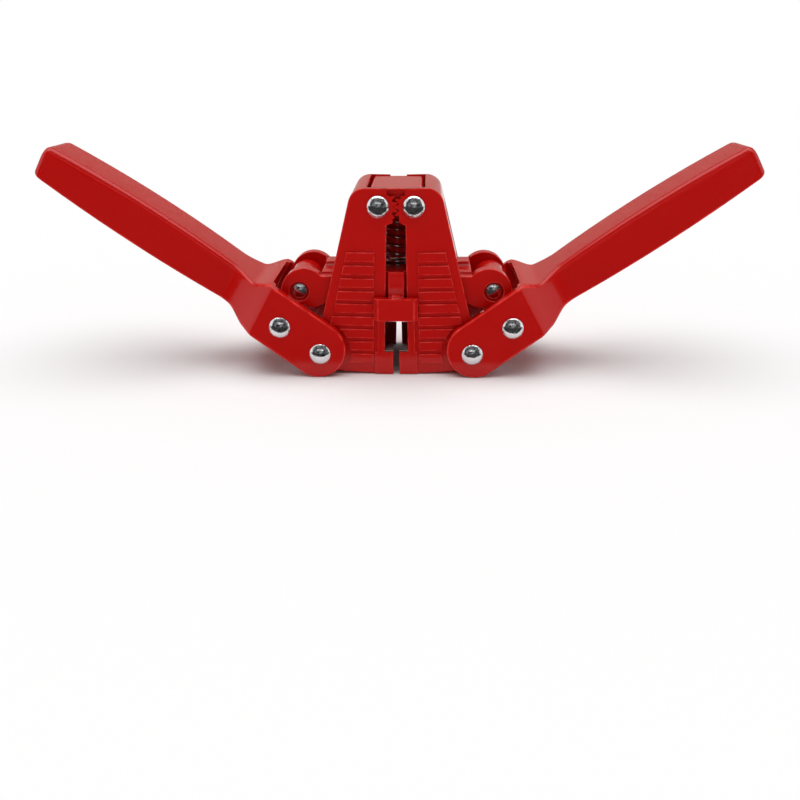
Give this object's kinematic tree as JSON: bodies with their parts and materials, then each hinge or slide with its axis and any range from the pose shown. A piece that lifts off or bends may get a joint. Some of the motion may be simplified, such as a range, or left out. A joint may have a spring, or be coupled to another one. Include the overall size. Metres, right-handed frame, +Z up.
{
  "type": "crown cap bottle capper",
  "caption": "Hand-held crown cap capper: two lever handles close geared jaws on a bottle neck and draw a spring-loaded crimping bell down over the cap.",
  "frame": {"origin": "bottle axis, at the level the rounded fork ends stand on, midway between front and back", "axes": "+X from the left to the right handle as seen from the front, +Y to the back, +Z up the bottle axis"},
  "size_m": [0.3416, 0.0712, 0.1059],
  "materials": {
    "red_plastic": "satin moulded",
    "rivet_steel": "bright nickel",
    "spring_steel": "drawn wire",
    "dark_steel": "blackened",
    "magnet": "nickel",
    "screw_zinc": "zinc"
  },
  "bodies": {
    "frame": {"yoke": "red_plastic", "left_jaw_rivet": "rivet_steel", "right_jaw_rivet": "rivet_steel", "return_spring": "spring_steel"},
    "left_jaw": {"left_jaw": "red_plastic", "left_neck_plate": "dark_steel", "left_neck_plate_screws": "screw_zinc"},
    "right_jaw": {"right_jaw": "red_plastic", "right_neck_plate": "dark_steel", "right_neck_plate_screws": "screw_zinc"},
    "left_handle": {"left_handle": "red_plastic", "left_handle_rivet": "rivet_steel", "left_link_rivet": "rivet_steel"},
    "right_handle": {"right_handle": "red_plastic", "right_handle_rivet": "rivet_steel", "right_link_rivet": "rivet_steel"},
    "carriage": {"carriage": "red_plastic", "bell": "dark_steel", "bell_magnet": "magnet", "bell_screw": "screw_zinc"},
    "left_ear_rivet": {"left_ear_rivet": "rivet_steel"},
    "right_ear_rivet": {"right_ear_rivet": "rivet_steel"},
    "left_link": {"left_link": "red_plastic"},
    "right_link": {"right_link": "red_plastic"}
  },
  "joints": [
    {"name": "left_jaw_hinge", "type": "hinge", "parent": "frame", "child": "left_jaw", "pos_m": [-0.0083, 0, 0.0806], "axis": [0, 1, 0], "range_deg": [-0.7, 3.5]},
    {"name": "right_jaw_hinge", "type": "hinge", "parent": "frame", "child": "right_jaw", "pos_m": [0.0083, 0, 0.0806], "axis": [0, -1, 0], "range_deg": [-0.7, 3.5]},
    {"name": "left_handle_hinge", "type": "hinge", "parent": "left_jaw", "child": "left_handle", "pos_m": [-0.03635, 0, 0.01169], "axis": [0, -1, 0], "range_deg": [-4, 29]},
    {"name": "right_handle_hinge", "type": "hinge", "parent": "right_jaw", "child": "right_handle", "pos_m": [0.03635, 0, 0.01169], "axis": [0, 1, 0], "range_deg": [-4, 29]},
    {"name": "carriage_slide", "type": "slide", "parent": "frame", "child": "carriage", "axis": [0, 0, -1], "range_m": [-0.00207, 0.01494], "deforming": ["return_spring"]},
    {"name": "left_ear_rivet_turn", "type": "hinge", "parent": "carriage", "child": "left_ear_rivet", "pos_m": [-0.04645, 0, 0.03995], "axis": [0, 1, 0], "range_deg": [-3.11, 15.15]},
    {"name": "right_ear_rivet_turn", "type": "hinge", "parent": "carriage", "child": "right_ear_rivet", "pos_m": [0.04645, 0, 0.03995], "axis": [0, -1, 0], "range_deg": [-3.11, 15.15]},
    {"name": "left_link_hinge", "type": "hinge", "parent": "left_ear_rivet", "child": "left_link", "pos_m": [-0.04645, 0, 0.03995], "axis": [0, 1, 0], "range_deg": [-2.82, 19.82]},
    {"name": "right_link_hinge", "type": "hinge", "parent": "right_ear_rivet", "child": "right_link", "pos_m": [0.04645, 0, 0.03995], "axis": [0, -1, 0], "range_deg": [-2.82, 19.82]}
  ],
  "couplings": [
    {"joint": "right_jaw_hinge", "follows": "left_jaw_hinge", "ratio": 1},
    {"joint": "right_handle_hinge", "follows": "left_handle_hinge", "ratio": 1},
    {"joint": "carriage_slide", "follows": "left_handle_hinge", "m_per_rad": 0.029507},
    {"joint": "left_ear_rivet_turn", "follows": "left_jaw_hinge", "ratio": 4.3},
    {"joint": "right_ear_rivet_turn", "follows": "left_jaw_hinge", "ratio": 4.3},
    {"joint": "left_link_hinge", "follows": "left_handle_hinge", "ratio": 0.68},
    {"joint": "right_link_hinge", "follows": "left_handle_hinge", "ratio": 0.68}
  ]
}
